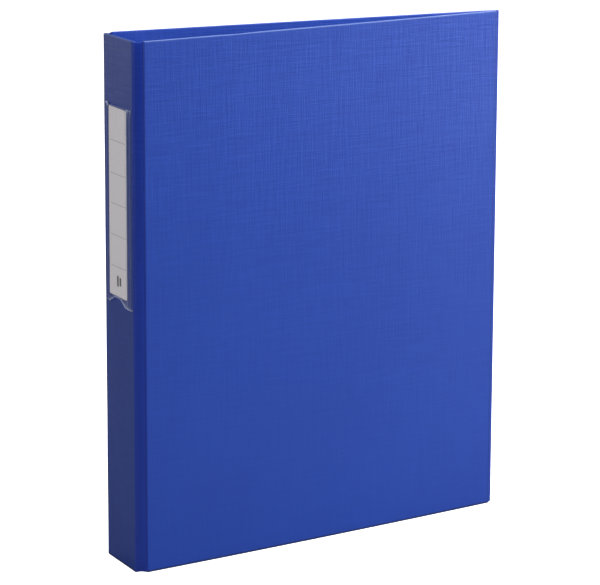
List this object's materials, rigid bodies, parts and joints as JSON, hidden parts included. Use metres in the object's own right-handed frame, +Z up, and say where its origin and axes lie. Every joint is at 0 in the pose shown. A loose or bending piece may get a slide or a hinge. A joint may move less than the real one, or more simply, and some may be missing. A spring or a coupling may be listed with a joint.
{
  "type": "ring binder",
  "caption": "A4 ring binder of foil-covered board with a label pocket on its narrow spine and a lever-opened D-ring mechanism riveted inside the back cover.",
  "frame": {"origin": "middle of the footprint of the closed, standing binder, on the surface it stands on", "axes": "+Z up along the spine, +X from the spine towards the fore edge, -Y out of the front cover"},
  "size_m": [0.2666, 0.0491, 0.318],
  "materials": {
    "blue_foil": "satin",
    "greyboard": "matte",
    "clear_film": "gloss",
    "label_card": "matte",
    "nickel_steel": "polished"
  },
  "bodies": {
    "spine": {"spine_outer_foil": "blue_foil", "spine_board": "greyboard", "spine_inner_foil": "blue_foil", "label_pocket": "clear_film"},
    "label": {"label_card": "label_card"},
    "front_strip": {"front_hinge_strip": "blue_foil"},
    "front_cover": {"front_cover_outer_foil": "blue_foil", "front_cover_board": "greyboard", "front_cover_inner_foil": "blue_foil"},
    "back_strip": {"back_hinge_strip": "blue_foil"},
    "back_cover": {"back_cover_outer_foil": "blue_foil", "back_cover_board": "greyboard", "back_cover_inner_foil": "blue_foil", "mechanism_housing": "nickel_steel", "mounting_post_top": "nickel_steel", "mounting_post_bottom": "nickel_steel", "mounting_rivet_top": "nickel_steel", "mounting_rivet_bottom": "nickel_steel"},
    "bow_side": {"bow_carrier": "nickel_steel", "ring_1_bow": "nickel_steel", "ring_2_bow": "nickel_steel", "ring_3_bow": "nickel_steel", "ring_4_bow": "nickel_steel"},
    "post_side": {"post_carrier": "nickel_steel", "ring_1_post": "nickel_steel", "ring_2_post": "nickel_steel", "ring_3_post": "nickel_steel", "ring_4_post": "nickel_steel"},
    "top_lever": {"top_trigger": "nickel_steel"},
    "bottom_lever": {"bottom_trigger": "nickel_steel"}
  },
  "joints": [
    {"name": "front_strip_fold", "type": "hinge", "parent": "spine", "child": "front_strip", "pos_m": [-0.1318, -0.02184, 0.159], "axis": [0, 0, -1], "range_deg": [0, 103]},
    {"name": "front_cover_fold", "type": "hinge", "parent": "front_strip", "child": "front_cover", "pos_m": [-0.12659, -0.02416, 0.159], "axis": [0, 0, -1], "range_deg": [0, 76]},
    {"name": "back_strip_fold", "type": "hinge", "parent": "spine", "child": "back_strip", "pos_m": [-0.1318, 0.02075, 0.159], "axis": [0, 0, 1], "range_deg": [0, 120]},
    {"name": "back_cover_fold", "type": "hinge", "parent": "back_strip", "child": "back_cover", "pos_m": [-0.12668, 0.02325, 0.159], "axis": [0, 0, 1], "range_deg": [0, 60]},
    {"name": "post_side_open", "type": "hinge", "parent": "back_cover", "child": "post_side", "pos_m": [-0.08755, 0.01796, 0.159], "axis": [0, 0, 1], "range_deg": [0, 20]},
    {"name": "bow_side_open", "type": "hinge", "parent": "back_cover", "child": "bow_side", "pos_m": [-0.10595, 0.01824, 0.159], "axis": [0, 0, -1], "range_deg": [0, 20]},
    {"name": "top_lever_press", "type": "hinge", "parent": "back_cover", "child": "top_lever", "pos_m": [-0.09674, 0.0187, 0.2975], "axis": [-0.9999, 0.0152, 0], "range_deg": [0, 25]},
    {"name": "bottom_lever_press", "type": "hinge", "parent": "back_cover", "child": "bottom_lever", "pos_m": [-0.09674, 0.0187, 0.0205], "axis": [0.9999, -0.0152, 0], "range_deg": [0, 25]},
    {"name": "label_slide", "type": "slide", "parent": "spine", "child": "label", "axis": [0, 0, 1], "range_m": [0, 0.118]}
  ],
  "couplings": [
    {"joint": "front_strip_fold", "follows": "front_cover_fold", "ratio": 1.35},
    {"joint": "back_strip_fold", "follows": "back_cover_fold", "ratio": 2},
    {"joint": "bow_side_open", "follows": "post_side_open", "ratio": 1},
    {"joint": "top_lever_press", "follows": "post_side_open", "ratio": 1.25},
    {"joint": "bottom_lever_press", "follows": "post_side_open", "ratio": 1.25}
  ]
}
